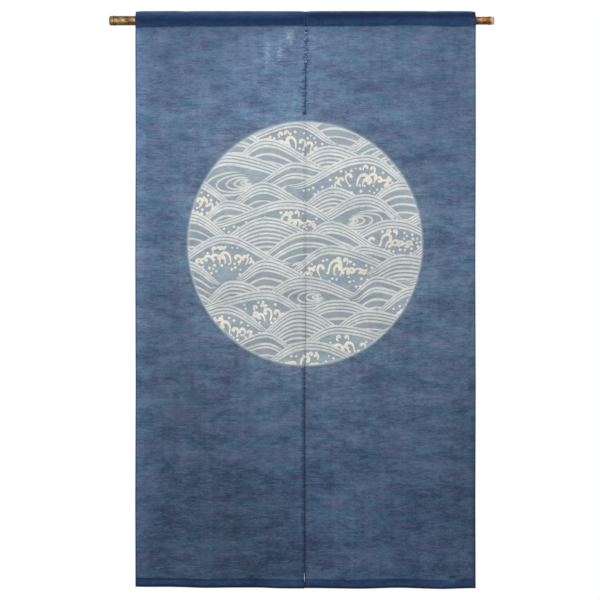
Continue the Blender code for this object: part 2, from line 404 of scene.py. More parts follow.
# The two hemp panels: each is one length of hand-woven hemp, dyed with indigo round a paste resist that
# keeps the round wave design pale. The top is folded back over the rod and sewn into a pocket, the foot
# is turned up into a hem, and the cloth hangs from the rod in soft upright folds.
CLOTH_THICKNESS = 0.001
CLOTH_LEFT = -0.4410
CLOTH_RIGHT = 0.4430
FOLD_RADIUS = 0.0008
LAYER_SPACING = 0.0014
HEM_HEIGHT = 0.0235
FLAP_TAIL = 0.004
ROD_CLEARANCE = 0.0003
ROUNDED_OUT = 0.7
ROUNDED_BACK = 0.3
SEAM_END_Z = -0.2390
SEAM_GAP = 0.00001
SLIT_LAP = 0.0012
SLIT_LAP_STARTS_Z = -0.80
SLIT_LAP_FULL_Z = -1.00
SLIT_OPENING_Z = -1.4480
SLIT_OPENING_REACH = 0.020
SLIT_OPENING_GAP = 0.0009
# The wandering line between the two panels, as (z, x)
MIDDLE_LINE = (
    (-1.476, -0.0026), (-1.452, -0.002), (-1.410, -0.0031), (-1.300, -0.003), (-1.000, -0.0035),
    (-0.930, -0.0034), (-0.830, -0.0006), (-0.730, 0.0005), (-0.620, -0.0003), (-0.420, 0.0006),
    (-0.315, 0.0005), (-0.239, -0.0007), (-0.198, 0.000), (-0.133, 0.001), (-0.063, 0.0016),
    (0.0234, 0.0018),
)
# The pocket's folded ridge, its stitch line and the hem's lower edge, each as (x, z)
TOP_LINE = (
    (-0.441, 0.0234), (-0.426, 0.025), (-0.334, 0.0254), (-0.3086, 0.0243), (-0.286, 0.0252),
    (-0.014, 0.0249), (0.0018, 0.0234), (0.017, 0.025), (0.200, 0.0254), (0.312, 0.0252),
    (0.3297, 0.0242), (0.348, 0.0252), (0.427, 0.025), (0.443, 0.023),
)
STITCH_LINE = (
    (-0.441, -0.0182), (-0.390, -0.0165), (-0.300, -0.0148), (-0.120, -0.0142), (-0.040, -0.0138),
    (0.190, -0.014), (0.260, -0.0144), (0.340, -0.0146), (0.400, -0.0154), (0.443, -0.0148),
)
FOOT_LINE = (
    (-0.441, -1.4712), (-0.330, -1.4736), (-0.210, -1.4738), (-0.095, -1.4754), (0.000, -1.476),
    (0.060, -1.4766), (0.150, -1.4758), (0.260, -1.4755), (0.360, -1.4766), (0.443, -1.4764),
)
# Height, and how far the left and the right edge stray outwards there
SIDE_LINE = (
    (-1.475, 0.000, 0.0006), (-1.250, 0.0006, 0.000), (-0.950, -0.0005, 0.0009),
    (-0.620, 0.0007, -0.0004), (-0.300, -0.0004, 0.0008), (-0.050, 0.0006, 0.0004),
    (0.000, 0.0002, 0.001), (0.025, -0.0008, -0.0015),
)
# Each soft fold: x at its top, x at the foot, half width, how far it comes forward, where it starts
FOLDS = (
    (-0.445, -0.420, 0.045, 0.004, -0.040), (-0.350, -0.335, 0.060, -0.0065, -0.080),
    (-0.235, -0.262, 0.052, 0.0078, -0.060), (-0.140, -0.118, 0.048, -0.0055, -0.120),
    (-0.050, -0.062, 0.040, 0.005, -0.160), (0.060, 0.045, 0.045, -0.0045, -0.140),
    (0.130, 0.150, 0.055, 0.0074, -0.070), (0.245, 0.232, 0.050, -0.006, -0.100),
    (0.330, 0.352, 0.060, 0.007, -0.050), (0.440, 0.425, 0.040, -0.0052, -0.090),
)
FOLD_GROWTH = 1.25
SLIT_CURL_WIDTH = 0.030
SLIT_CURL = {"left": 0.0035, "right": -0.0022}
# Small creases left by folding and washing: x, z, lean, half width, half length, how far forward
CREASES = (
    (-0.388, -1.180, 0.05, 0.010, 0.190, 0.0008), (-0.300, -0.980, -0.04, 0.012, 0.240, -0.0009),
    (-0.205, -1.290, 0.07, 0.011, 0.130, 0.0007), (-0.150, -0.180, -0.10, 0.014, 0.090, 0.0006),
    (-0.085, -1.120, 0.03, 0.010, 0.210, -0.0007), (0.052, -1.330, -0.05, 0.010, 0.110, 0.0006),
    (0.110, -1.020, 0.04, 0.012, 0.200, -0.0008), (0.190, -0.140, 0.12, 0.013, 0.070, 0.0006),
    (0.215, -1.240, -0.03, 0.011, 0.170, 0.0009), (0.300, -1.060, 0.06, 0.012, 0.230, -0.0007),
    (0.384, -1.280, -0.04, 0.010, 0.150, 0.0008),
)
PUCKER_PITCH = 0.0125
PUCKER_HEIGHT = 0.00035
PUCKER_REACH = 0.016
SEAM_PUCKER_PITCH = 0.0078
SEAM_PUCKER_HEIGHT = 0.0007
SEAM_PUCKER_REACH = 0.014
# How far down the pocket's painted shade of doubled cloth reaches, as (x, z)
POCKET_SHADE_LIMIT = (
    (-0.441, -0.0196), (-0.420, -0.0176), (-0.360, -0.016), (-0.300, -0.0136), (-0.140, -0.0136),
    (-0.090, -0.0116), (-0.020, -0.0118), (0.002, -0.0146), (0.180, -0.0136), (0.240, -0.0112),
    (0.330, -0.0124), (0.390, -0.016), (0.443, -0.013),
)
CLOTH_COLUMNS = 64
ROW_STEP = 0.012
POCKET_ARC_POINTS = 12
NORMAL_PROBE = 0.0003


def smooth(t):
    """A ramp from 0 to 1 with soft ends."""
    t = np.clip(t, 0.0, 1.0)
    return t * t * (3.0 - 2.0 * t)


def line_at(line, place):
    """The second value of a line's points at a place between their first values."""
    return np.interp(place, *zip(*line))


def hem_top_z(x):
    """The hem's upper edge."""
    return line_at(FOOT_LINE, x) + CLOTH_THICKNESS / 2 + HEM_HEIGHT


def outer_edge_x(side, z):
    """The panel's free side edge."""
    heights, left_stray, right_stray = zip(*SIDE_LINE)
    if side == "left":
        return CLOTH_LEFT - np.interp(z, heights, left_stray)
    return CLOTH_RIGHT + np.interp(z, heights, right_stray)


def inner_edge_x(side, z):
    """The panel's edge on the seam and the slit."""
    lapped = smooth((SLIT_LAP_STARTS_Z - z) / (SLIT_LAP_STARTS_Z - SLIT_LAP_FULL_Z))
    closed = SEAM_GAP - lapped * (SLIT_LAP + SEAM_GAP)
    gap = closed + bell((z - SLIT_OPENING_Z) / SLIT_OPENING_REACH) * (SLIT_OPENING_GAP - closed)
    return line_at(MIDDLE_LINE, z) + (-gap / 2 if side == "left" else gap / 2)


def hang(side, x, z):
    """How far the cloth lies in front (minus) or behind (plus) its plane."""
    y = np.zeros_like(x)
    foot = line_at(FOOT_LINE, x)
    for x_top, x_foot, half_width, forward, starts_z in FOLDS:
        down = np.maximum(0.0, (z - starts_z) / (foot - starts_z))
        middle = x_top + down * (x_foot - x_top)
        y -= forward * smooth(down * FOLD_GROWTH) * bell((x - middle) / half_width)
    from_slit = x - inner_edge_x(side, z)
    curled = smooth((z - SEAM_END_Z) / (foot - SEAM_END_Z))
    y -= SLIT_CURL[side] * curled * bell(from_slit / SLIT_CURL_WIDTH)
    for x_mid, z_mid, lean, half_width, half_length, forward in CREASES:
        across = (x - x_mid - lean * (z - z_mid)) / half_width
        y -= forward * bell(across) * bell((z - z_mid) / half_length)
    below_stitch = np.maximum(0.0, line_at(STITCH_LINE, x) - z)
    uneven = 1.0 + 0.5 * np.sin(x * 61.0) + 0.3 * np.sin(x * 143.0 + 1.0)
    pucker = np.sin(math.tau * x / PUCKER_PITCH + 2.2 * np.sin(x * 47.0)) * uneven
    y -= PUCKER_HEIGHT * pucker * smooth(below_stitch / 0.004) * np.exp(-below_stitch / PUCKER_REACH)
    beside_seam = smooth(below_stitch / 0.01) * smooth((z - SEAM_END_Z + 0.03) / 0.03)
    ripple = np.sin(math.tau * z / SEAM_PUCKER_PITCH + 1.7 * np.sin(z * 53.0))
    y -= SEAM_PUCKER_HEIGHT * ripple * beside_seam * bell(from_slit / SEAM_PUCKER_REACH)
    return y


def cloth_section(x):
    """The cloth's middle line at each x, from the pocket's flap over the ridge and down the front to the
    hem's end: rows of (distance along the flat cloth, y before the hang is added, z)."""
    half = LAYER_SPACING / 2
    low = line_at(STITCH_LINE, x)
    ridge = line_at(TOP_LINE, x) - CLOTH_THICKNESS / 2
    half_step = math.radians(90.0) / (POCKET_ARC_POINTS - 1) / 2
    reach = (rod_radius(x) + RING_RISE + ROD_CLEARANCE + CLOTH_THICKNESS / 2) / math.cos(half_step)
    upper = np.arccos(reach / ridge)
    lower = math.pi - np.arccos(np.minimum(1.0, -reach / low))
    steady = np.ones_like(x)
    wall = [(steady * FOLD_RADIUS * ROUNDED_OUT, ridge - FOLD_RADIUS * ROUNDED_BACK)]
    wall.append((steady * FOLD_RADIUS, ridge - FOLD_RADIUS))
    for share in np.linspace(0.0, 1.0, POCKET_ARC_POINTS):
        angle = upper + share * (lower - upper)
        wall.append((reach * np.sin(angle), reach * np.cos(angle)))
    wall.append((steady * half, low))
    flap = [(steady * half, low - FLAP_TAIL), *wall[::-1], (steady * 0.0, ridge)]
    front = [(-out, z) for out, z in wall]
    foot = line_at(FOOT_LINE, x) + CLOTH_THICKNESS / 2
    turn = [(1.0, HEM_HEIGHT), (1.0, half), (ROUNDED_OUT, half * ROUNDED_BACK)]
    hem = [(-steady * half * out, foot + up) for out, up in turn]
    hem += [(steady * 0.0, foot)] + [(-y, z) for y, z in hem[::-1]]
    rows = [*flap, *front, (-steady * half, low - FLAP_TAIL), *hem]
    ys = np.array([y for y, _ in rows])
    zs = np.array([z for _, z in rows])
    steps = np.hypot(np.diff(ys, axis=0), np.diff(zs, axis=0))
    run = np.concatenate([np.zeros((1, len(x))), np.cumsum(steps, axis=0)])
    flat = low - (run - run[len(flap) + len(front) - 1])
    return flat, ys, zs


def place_on_curtain(side, x, flat):
    """Where a point of the flat cloth comes to lie on the hung curtain."""
    flats, ys, zs = cloth_section(x)
    row = np.clip((flat[None, :] < flats - 1e-9).sum(axis=0), 1, len(flats) - 1)
    column = np.arange(len(x))
    above, below = flats[row - 1, column], flats[row, column]
    share = (above - flat) / (above - below)
    y = ys[row - 1, column] * (1.0 - share) + ys[row, column] * share
    z = zs[row - 1, column] * (1.0 - share) + zs[row, column] * share
    return np.stack([x, y + hang(side, x, z), z], axis=1)


def cloth_face(side, x, flat):
    """Points of the hung cloth's middle, and the way out of its front there."""
    middle = place_on_curtain(side, x, flat)
    to_right = place_on_curtain(side, x + NORMAL_PROBE, flat) - place_on_curtain(side, x - NORMAL_PROBE, flat)
    upwards = place_on_curtain(side, x, flat + NORMAL_PROBE) - place_on_curtain(side, x, flat - NORMAL_PROBE)
    normals = np.cross(to_right, upwards)
    return middle, normals / np.linalg.norm(normals, axis=1)[:, None]


# The wave design: broad hills of brushed lines, foam that curls over under their crests, and a few
# eddies, laid out row behind row as a rough sea is traditionally drawn. Everything inside the disc is
# measured from the disc's centre.
DISC_CENTRE_X = -0.0005
DISC_CENTRE_Z = -0.5795
DISC_HALF_WIDTH = 0.3045
DISC_HALF_HEIGHT = 0.3165
WAVE_SEED = 42
ROW_PITCH = 0.048
TOP_ROW_Z = 0.292
HILL_PITCH = 0.186
HILL_HALF_WIDTH = 0.094
HILL_HEIGHT = 0.056
STROKE_WIDTH = 0.0055
BAND_PITCH = 0.0098
TAIL_PITCH = 0.0062
LINE_HALF = STROKE_WIDTH * 0.5 / BAND_PITCH
HILL_STEPS = 30
STROKE_STEPS = 26
SHORTEST_STROKE = 0.4
FOAM_STEPS = 21
FOAM_DEPTH = 0.060
FINGER_STEPS = 12
FINGER_WIDTH = 0.0048
SPRAY_COUNT = (64, 76)
SPRAY_TRIES = 1500
SPRAY_SPACING = 0.0094
SPRAY_RADIUS = (0.0026, 0.0043)
# The half width and half height of the place that the fingers take up, and how far it is raised
FINGERS_PLACE = (0.046, 0.016, 0.008)
EDDY_RINGS = (0.012, 0.023, 0.036, 0.052, 0.070)
EDDY_FLATNESS = 0.42
EDDY_STEPS = 36
# How far under the crest each line lies, in band pitches
STROKE_SETS = {
    "c": (0.0, 0.90, 1.80, 2.70, 4.8, 7.0, 9.2),
    "o": (0.0, 0.90, 1.80, 3.9, 6.0, 8.2, 10.2),
    "w": (0.0, 0.90, 2.8, 3.7, 5.8, 8.0, 10.2),
    "n": (0.0, 0.95, 1.9, 3.0, 4.1, 5.2, 6.3, 7.6, 9.0),
    "f": (0.0, 0.90, 1.8),
    "e": (0.0, 0.90, 1.8, 2.8),
}
# One word a row, one letter a hill: close, open, wide or nested lines, foam, or an eddy
HILL_ROWS = (
    "cwocwc", "owfcwo", "nconwc", "oewfco", "wfcnow", "cofecw", "wcncfc", "cfwocn", "wocfnc", "cnewoc",
    "fwfcfo", "cfncwo", "ocwfnc", "wcfown", "fowcoc", "owcofc",
)
# A foam crest's fingers: place along it, height, length, direction of the stem, how far it curls over
FINGERS = (
    (0.013, -0.014, 0.050, 84, 214), (0.000, -0.015, 0.036, 96, 222), (-0.012, -0.013, 0.038, 104, 218),
    (-0.026, -0.011, 0.031, 122, 220), (-0.040, -0.008, 0.026, 138, 222),
    (-0.053, -0.004, 0.020, 150, 224), (-0.026, 0.013, 0.020, 118, -196),
    (-0.002, 0.020, 0.018, 96, 200), (0.031, -0.015, 0.034, 56, 200), (0.047, -0.018, 0.027, 60, 196),
    (0.061, -0.021, 0.020, 62, 190),
)


def crest_height(t, long_side):
    """A hill's outline from -1 at its short side's foot over 0 at the crest to its long side's end."""
    if t < 0:
        return (1.0 - min(1.0, -t) ** 2) ** 1.6
    return (1.0 - min(1.0, t / long_side) ** 2) ** 2.3


def round_dot(x, z, half_wide, half_high, sides):
    """A dot of resist paste."""
    angles = [math.tau * side / sides for side in range(sides)]
    return [(x + half_wide * math.cos(angle), z + half_high * math.sin(angle)) for angle in angles]


def brushed(path, widths):
    """A closed outline round a path, as wide at each point as widths says."""
    left, right = [], []
    neighbours = zip([path[0], *path], [*path[1:], path[-1]])
    for (x, z), (before, after), width in zip(path, neighbours, widths):
        run_x, run_z = after[0] - before[0], after[1] - before[1]
        half_share = width / 2 / math.hypot(run_x, run_z)
        left.append((x - run_z * half_share, z + run_x * half_share))
        right.append((x + run_z * half_share, z - run_x * half_share))
    return left + right[::-1]


def hull(points):
    """The convex outline round a few points."""
    ordered = sorted(points)
    outline = []
    for run in (ordered, ordered[::-1]):
        chain = []
        for x, z in run:
            while len(chain) > 1:
                (first_x, first_z), (last_x, last_z) = chain[-2:]
                if (last_x - first_x) * (z - first_z) - (last_z - first_z) * (x - first_x) > 0.0:
                    break
                chain.pop()
            chain.append((x, z))
        outline += chain[:-1]
    return outline


def brushed_in_steps(path, widths):
    """The same brush stroke as a chain of short pieces, for paths that curl onto themselves."""
    outline = brushed(path, widths)
    last = len(outline) - 1
    steps = range(len(path) - 1)
    return [hull((outline[i], outline[i + 1], outline[last - i - 1], outline[last - i])) for i in steps]


def foam_finger(x, z, length, turn, curl):
    """A finger of foam: a stem that swells as it curls over into a round tip."""
    path = [(x, z)]
    for i in range(FINGER_STEPS + 1):
        angle = turn + curl * (i / FINGER_STEPS) ** 2.2
        x += length / FINGER_STEPS * math.cos(angle)
        z += length / FINGER_STEPS * math.sin(angle)
        path.append((x, z))
    fat = FINGER_WIDTH + length * 0.055
    widths = [fat * (0.40 + 0.72 * min(1.0, 1.35 * i / (FINGER_STEPS + 1))) for i in range(len(path))]
    return brushed_in_steps(path, widths) + [round_dot(x, z, fat * 0.64, fat * 0.60, 12)]


def foam_crest(x, z, half_width, height, long_side, mirror, crest, chance):
    """Fingers of foam under a crest, and spray thrown round them."""
    shapes = []
    chance = random.Random(chance.randint(0, 999))
    middle_x = x + mirror * half_width * chance.uniform(0.00, 0.30)
    middle_z = z + height - FOAM_DEPTH * chance.uniform(0.95, 1.08)
    flip = 1 if chance.random() < 0.6 else -1
    grow = chance.uniform(0.98, 1.22)
    for along, up, length, turn, curl in FINGERS:
        turn = math.radians(turn + chance.uniform(-14, 14))
        curl = math.radians(curl + chance.uniform(-20, 20))
        if flip < 0:
            turn, curl = math.pi - turn, -curl
        root_z = middle_z + up + chance.uniform(-0.003, 0.004)
        finger_length = length * grow * chance.uniform(0.90, 1.08)
        shapes += foam_finger(middle_x + flip * along * grow, root_z, finger_length, turn, curl)
    wanted = chance.randint(*SPRAY_COUNT)
    taken_x, taken_z, raised = FINGERS_PLACE
    spray = []
    for _ in range(SPRAY_TRIES):
        if len(spray) == wanted:
            break
        t = chance.uniform(-0.88, long_side * 0.8)
        drop_x, top = crest(t, STROKE_SETS["f"][-1] + 0.95)
        drop_z = top - height * chance.uniform(0.0, 0.95)
        crowded = any(math.dist((drop_x, drop_z), other) < SPRAY_SPACING for other in spray)
        on_fingers = math.hypot((drop_x - middle_x) / taken_x, (drop_z - middle_z - raised) / taken_z) < 1.0
        if crowded or on_fingers:
            continue
        spray.append((drop_x, drop_z))
        radius = chance.uniform(*SPRAY_RADIUS)
        shapes.append(round_dot(drop_x, drop_z, radius, radius * 0.95, 9))
    return shapes


def eddy(x, z, half_width, height, mirror, chance):
    """Flattened rings round an eye, drawn together on one side."""
    shapes = []
    eye_x = x + mirror * half_width * 0.35
    eye_z = z + height * 0.02
    turn = math.radians(chance.uniform(-6, 8))
    for number, half_wide in enumerate(EDDY_RINGS):
        half_high = half_wide * EDDY_FLATNESS
        middle_x = eye_x - mirror * (half_wide - EDDY_RINGS[0]) * 0.6
        middle_z = eye_z - (half_high - 0.006) * 0.10
        path = []
        for step in range(3 + number, EDDY_STEPS + 1 - number):
            angle = math.tau * step / EDDY_STEPS
            out_x, out_z = mirror * half_wide * math.cos(angle), half_high * math.sin(angle)
            turned_x = out_x * math.cos(turn) - out_z * math.sin(turn)
            turned_z = out_x * math.sin(turn) + out_z * math.cos(turn)
            path.append((middle_x + turned_x, middle_z + turned_z))
        ends = [min(i, len(path) - 1 - i) / (len(path) - 1) for i in range(len(path))]
        shapes.append(brushed(path, [STROKE_WIDTH * 0.85 * min(1.0, 5 * end + 0.2) for end in ends]))
    shapes.append(round_dot(eye_x, eye_z, 0.0048, 0.0030, 12))
    return shapes


def wave_hill(x, z, half_width, height, long_side, mirror, kind, chance):
    """One hill as (paint, outline) shapes in the order of painting."""
    wobble = [chance.uniform(-1, 1) for _ in range(4)]

    def crest(t, under):
        rise = crest_height(t, long_side)
        pitch = TAIL_PITCH + (BAND_PITCH - TAIL_PITCH) * rise**0.6
        to_end = min(t + 1.0, long_side - t) / 0.30
        pitch *= 0.22 + 0.78 * min(1.0, max(0.0, to_end))
        swing = wobble[0] * math.sin(2.1 * t + wobble[1] * 3) + wobble[2] * math.sin(4.7 * t + wobble[3] * 3)
        return (x + mirror * t * half_width, z + height * rise + 0.0022 * swing * rise - under * pitch)

    spans = [-1 + (1 + long_side) * i / HILL_STEPS for i in range(HILL_STEPS + 1)]
    top = [crest(t, -LINE_HALF) for t in spans]
    belly = []
    for t in reversed(spans[1:-1]):
        depth = max(0.0, math.sin(math.pi * (t + 1) / (1 + long_side))) ** 0.8
        belly.append((x + mirror * t * half_width, z - height * 1.1 * depth - 0.004))
    shapes = [("ground", top + belly)]
    if kind == "f":
        low = STROKE_SETS["f"][-1] + LINE_HALF
        hollow = []
        floor = []
        for i in range(FOAM_STEPS):
            roof_x, roof_z = crest(-0.92 + (0.92 + long_side * 0.85) * i / (FOAM_STEPS - 1), low)
            floor_z = z - height * math.sin(math.pi * (i + 0.5) / FOAM_STEPS) ** 0.6
            hollow.append((roof_x, roof_z))
            floor.append((roof_x, min(floor_z, roof_z - 0.002)))
        shapes.append(("foam ground", hollow + floor[::-1]))
    for under in STROKE_SETS[kind]:
        trim = 0.02 + 0.035 * under
        start, end = -1 + trim, long_side - trim * 1.5
        width = STROKE_WIDTH * chance.uniform(0.88, 1.12)
        phase = chance.uniform(0.0, math.tau)
        if end - start < SHORTEST_STROKE:
            continue
        path, widths = [], []
        for i in range(STROKE_STEPS + 1):
            done = i / STROKE_STEPS
            t = start + (end - start) * done
            taper = min(1.0, 5.0 * done + 0.30, 5.5 * (1.0 - done) + 0.15)
            pressed = (0.66 + 0.34 * crest_height(t, long_side)) * (1.0 + 0.12 * math.sin(3.3 * t + phase))
            widths.append(width * taper * pressed)
            path.append(crest(t, under))
        shapes.append(("line", brushed(path, widths)))
    if kind == "f":
        foam = foam_crest(x, z, half_width, height, long_side, mirror, crest, chance)
        shapes += [("foam", shape) for shape in foam]
    if kind == "e":
        shapes += [("line", shape) for shape in eddy(x, z, half_width, height, mirror, chance)]
    return shapes


def wave_design():
    """All the design's shapes, from the farthest hill to the nearest."""
    chance = random.Random(WAVE_SEED)
    hills = []
    for row, kinds in enumerate(HILL_ROWS):
        for place, kind in enumerate(kinds):
            x = (place - 2.5 + (0.5 if row % 2 else 0.0)) * HILL_PITCH - 0.02 + chance.uniform(-0.024, 0.024)
            z = TOP_ROW_Z - row * ROW_PITCH + chance.uniform(-0.014, 0.014)
            scale = chance.uniform(0.78, 1.25) if kind in "cown" else chance.uniform(1.08, 1.30)
            half_width = HILL_HALF_WIDTH * scale * chance.uniform(0.92, 1.10)
            height = HILL_HEIGHT * scale * chance.uniform(0.88, 1.12)
            long_side = chance.uniform(1.40, 2.15)
            mirror = 1 if chance.random() < 0.62 else -1
            nearness = z + chance.uniform(-0.012, 0.012)
            hill = wave_hill(x, z, half_width, height, long_side, mirror, kind, chance)
            hills.append((nearness, hill))
    hills.sort(key=lambda hill: -hill[0])
    return [shape for _, shapes in hills for shape in shapes]


DISC_STEPS = 180
PAINTS = {
    "field": (0.0, 0.0, 0.0, 1.0),
    "ground": (0.0, 1.0, 0.0, 1.0),
    "foam ground": (0.0, 1.0, 1.0, 1.0),
    "line": (1.0, 1.0, 0.0, 1.0),
    "foam": (1.0, 1.0, 1.0, 1.0),
}
ZONE_TOP_Z = -0.250
ZONE_BOTTOM_Z = -0.910
HEM_ROWS = 7
CUT_TOLERANCE = 0.00001
WELD_DISTANCE = 0.000004


def across_panel(side, z, share):
    """x at a share of the panel's width."""
    edges = (outer_edge_x(side, z), inner_edge_x(side, z))
    start, end = edges if side == "left" else edges[::-1]
    return start + share * (end - start)


def level_row(side, flats, shares):
    """One row of the flat cloth, as (x, flat) points."""
    return np.stack([across_panel(side, flats, shares), flats], axis=1)


def panel_rows(side, shares):
    """The flat cloth's rows outside the wave design, above it and below it."""
    flats, _, zs = cloth_section(across_panel(side, 0.0, shares))
    stations = [np.stack([across_panel(side, z, shares), flat], axis=1) for flat, z in zip(flats, zs)]
    above, below = stations[:-HEM_ROWS], []
    tail, hem_top = flats[-HEM_ROWS - 1], flats[-HEM_ROWS]
    for share in np.linspace(0.0, 1.0, round((tail.mean() - ZONE_TOP_Z) / (ROW_STEP / 2)) + 1)[1:]:
        above.append(level_row(side, tail + share * (ZONE_TOP_Z - tail), shares))
    for share in np.linspace(0.0, 1.0, round((ZONE_BOTTOM_Z - hem_top.mean()) / ROW_STEP) + 1)[:-1]:
        below.append(level_row(side, ZONE_BOTTOM_Z + share * (hem_top - ZONE_BOTTOM_Z), shares))
    return above, below + stations[-HEM_ROWS:]


def strip_faces(rows, columns):
    """Quads between rows of points, seen from the front with the first row on top."""
    faces = []
    for row in range(rows - 1):
        for corner in range(row * columns, row * columns + columns - 1):
            faces.append((corner + columns, corner + columns + 1, corner + 1, corner))
    return faces


def design_zone(side, shares, shapes):
    """The part of the flat cloth that holds the disc, cut along every edge of the design.
    Gives its points, its faces and each face's paint."""
    heights = np.linspace(ZONE_TOP_Z, ZONE_BOTTOM_Z, round((ZONE_TOP_Z - ZONE_BOTTOM_Z) / ROW_STEP) + 1)
    rows = [level_row(side, np.full_like(shares, z), shares) for z in heights]
    border = [*rows[0][::-1], *[row[0] for row in rows[1:]]]
    border += [*rows[-1][1:], *[row[-1] for row in rows[-2:0:-1]]]
    points = [Vector(point) for point in border]
    faces = [list(range(len(points)))]
    paints = ["field"]
    points += [Vector(point) for row in rows[1:-1] for point in row[1:-1]]
    angles = [math.tau * step / DISC_STEPS for step in range(DISC_STEPS)]
    disc = [(DISC_HALF_WIDTH * math.cos(angle), DISC_HALF_HEIGHT * math.sin(angle)) for angle in angles]
    left_limit = min(x for x, _ in border) - DISC_CENTRE_X
    right_limit = max(x for x, _ in border) - DISC_CENTRE_X
    for paint, shape in [("disc", disc), *shapes]:
        spread_x = [x for x, _ in shape]
        nearest = min(math.hypot(x / DISC_HALF_WIDTH, z / DISC_HALF_HEIGHT) for x, z in shape)
        off_panel = max(spread_x) < left_limit or min(spread_x) > right_limit or nearest > 1.02
        if off_panel and paint in ("line", "foam"):
            continue
        following = [*shape[1:], shape[0]]
        turning = sum(x * next_z - next_x * z for (x, z), (next_x, next_z) in zip(shape, following))
        if turning < 0.0:
            shape = shape[::-1]
        first = len(points)
        points += [Vector((DISC_CENTRE_X + x, DISC_CENTRE_Z + z)) for x, z in shape]
        faces.append(list(range(first, len(points))))
        paints.append("ground" if paint == "disc" else paint)
    cut_points, _, cut_faces, _, _, face_sources = delaunay_2d_cdt(points, [], faces, 1, CUT_TOLERANCE, True)
    kept_faces, kept_paints = [], []
    for face, sources in zip(cut_faces, face_sources):
        if 0 in sources:
            kept_faces.append(tuple(face))
            kept_paints.append(paints[max(sources)] if 1 in sources else "field")
    return [tuple(point) for point in cut_points], kept_faces, kept_paints


def flat_panel(side, shapes):
    """The flat cloth of one panel as points, faces, paints and free edges, all in one piece."""
    shares = np.linspace(0.0, 1.0, CLOTH_COLUMNS + 1)
    batches = []
    for rows in panel_rows(side, shares):
        faces = strip_faces(len(rows), len(shares))
        batches.append((np.concatenate(rows), faces, ["field"] * len(faces)))
    batches.append(design_zone(side, shares, shapes))
    work = bmesh.new()
    paint_of = work.faces.layers.int.new("paint")
    paint_numbers = list(PAINTS)
    for points, faces, paints in batches:
        made = [work.verts.new((x, flat, 0.0)) for x, flat in points]
        for corners, paint in zip(faces, paints):
            face = work.faces.new([made[corner] for corner in corners])
            face[paint_of] = paint_numbers.index(paint)
    bmesh.ops.remove_doubles(work, verts=work.verts, dist=WELD_DISTANCE)
    loose = [vertex for vertex in work.verts if not vertex.link_faces]
    bmesh.ops.delete(work, geom=loose, context="VERTS")
    for face in work.faces:
        if face.normal.z < 0.0:
            face.normal_flip()
    work.verts.index_update()
    points = np.array([vertex.co[:2] for vertex in work.verts])
    faces = [tuple(vertex.index for vertex in face.verts) for face in work.faces]
    paints = [paint_numbers[face[paint_of]] for face in work.faces]
    rims = [edge.link_loops[0] for edge in work.edges if len(edge.link_loops) == 1]
    rim_edges = [(loop.vert.index, loop.link_loop_next.vert.index) for loop in rims]
    work.free()
    return points, faces, paints, rim_edges


def make_panel(side, shapes, material):
    """One hung panel: the flat cloth laid onto the curtain's shape, with its two faces and its rim."""
    points, faces, paints, rim_edges = flat_panel(side, shapes)
    x, flat = points[:, 0], points[:, 1]
    middle, normals = cloth_face(side, x, flat)
    count = len(middle)
    outside = middle + normals * CLOTH_THICKNESS / 2
    inside = middle - normals * CLOTH_THICKNESS / 2
    back_faces = [tuple(corner + count for corner in reversed(face)) for face in faces]
    rim_faces = [(end, start, start + count, end + count) for start, end in rim_edges]
    mesh = bpy.data.meshes.new("cloth_" + side)
    mesh.from_pydata(np.concatenate([outside, inside]), [], faces + back_faces + rim_faces)
    corner_vertex = np.zeros(len(mesh.loops), dtype=np.int64)
    mesh.loops.foreach_get("vertex_index", corner_vertex)
    corners_of_face = [len(polygon.vertices) for polygon in mesh.polygons]
    face_paints = [PAINTS[paint] for paint in paints + paints] + [PAINTS["field"]] * len(rim_faces)
    mesh.color_attributes.new("dye", "FLOAT_COLOR", "CORNER")
    corner_paints = np.repeat(np.array(face_paints), corners_of_face, axis=0)
    mesh.color_attributes["dye"].data.foreach_set("color", corner_paints.ravel())
    z = middle[:, 2]
    to_outer, to_inner = np.abs(x - outer_edge_x(side, z)), np.abs(x - inner_edge_x(side, z))
    measures = {
        "flat": points,
        "edges": np.stack([to_outer, to_inner], axis=1),
        "folds": np.stack([flat - line_at(POCKET_SHADE_LIMIT, x), flat - hem_top_z(x)], axis=1),
    }
    for name in measures:
        mesh.uv_layers.new(name=name)
    for name, values in measures.items():
        mesh.uv_layers[name].data.foreach_set("uv", values[corner_vertex % count].ravel())
    mesh.materials.append(material)
    mesh.shade_smooth()
    corner_normals = np.concatenate([normals, -normals])[corner_vertex]
    corner_normals[sum(corners_of_face[: 2 * len(faces)]) :] = 0.0
    mesh.normals_split_custom_set(corner_normals.tolist())
    return placed_object("cloth_" + side, mesh)


def plain_weave():
    """Shader group: the hemp's warp and weft. Gives a height and a tone that changes from yarn to yarn."""
    inputs = {"Place": "Vector", "Yarn pitch": "Float"}
    outputs = {"Height": "Float", "Warp tone": "Float", "Weft tone": "Float"}
    tree, given = new_tree("Plain weave", "ShaderNodeTree", inputs, outputs)
    place = parts_of(given["Place"])
    shift = (noise(given["Place"], (60.0, 60.0, 1.0), 1.0) - 0.5) * 0.012
    warp = (place["X"] + shift) / given["Yarn pitch"]
    weft = (place["Y"] + shift) / given["Yarn pitch"]
    warp_wave = math_node("SINE", warp * math.pi)
    weft_wave = math_node("SINE", weft * math.pi)
    made = {"Height": warp_wave * weft_wave * 0.35 + math_node("SQRT", abs(warp_wave) * abs(weft_wave))}
    for name, along, yarn in (("Warp tone", place["Y"], warp), ("Weft tone", place["X"], weft)):
        made[name] = noise(vector_of(along * 48.0, math_node("FLOOR", yarn)), (1.0, 1.0, 1.0))
    add_node(tree, "NodeGroupOutput", made)
    return tree


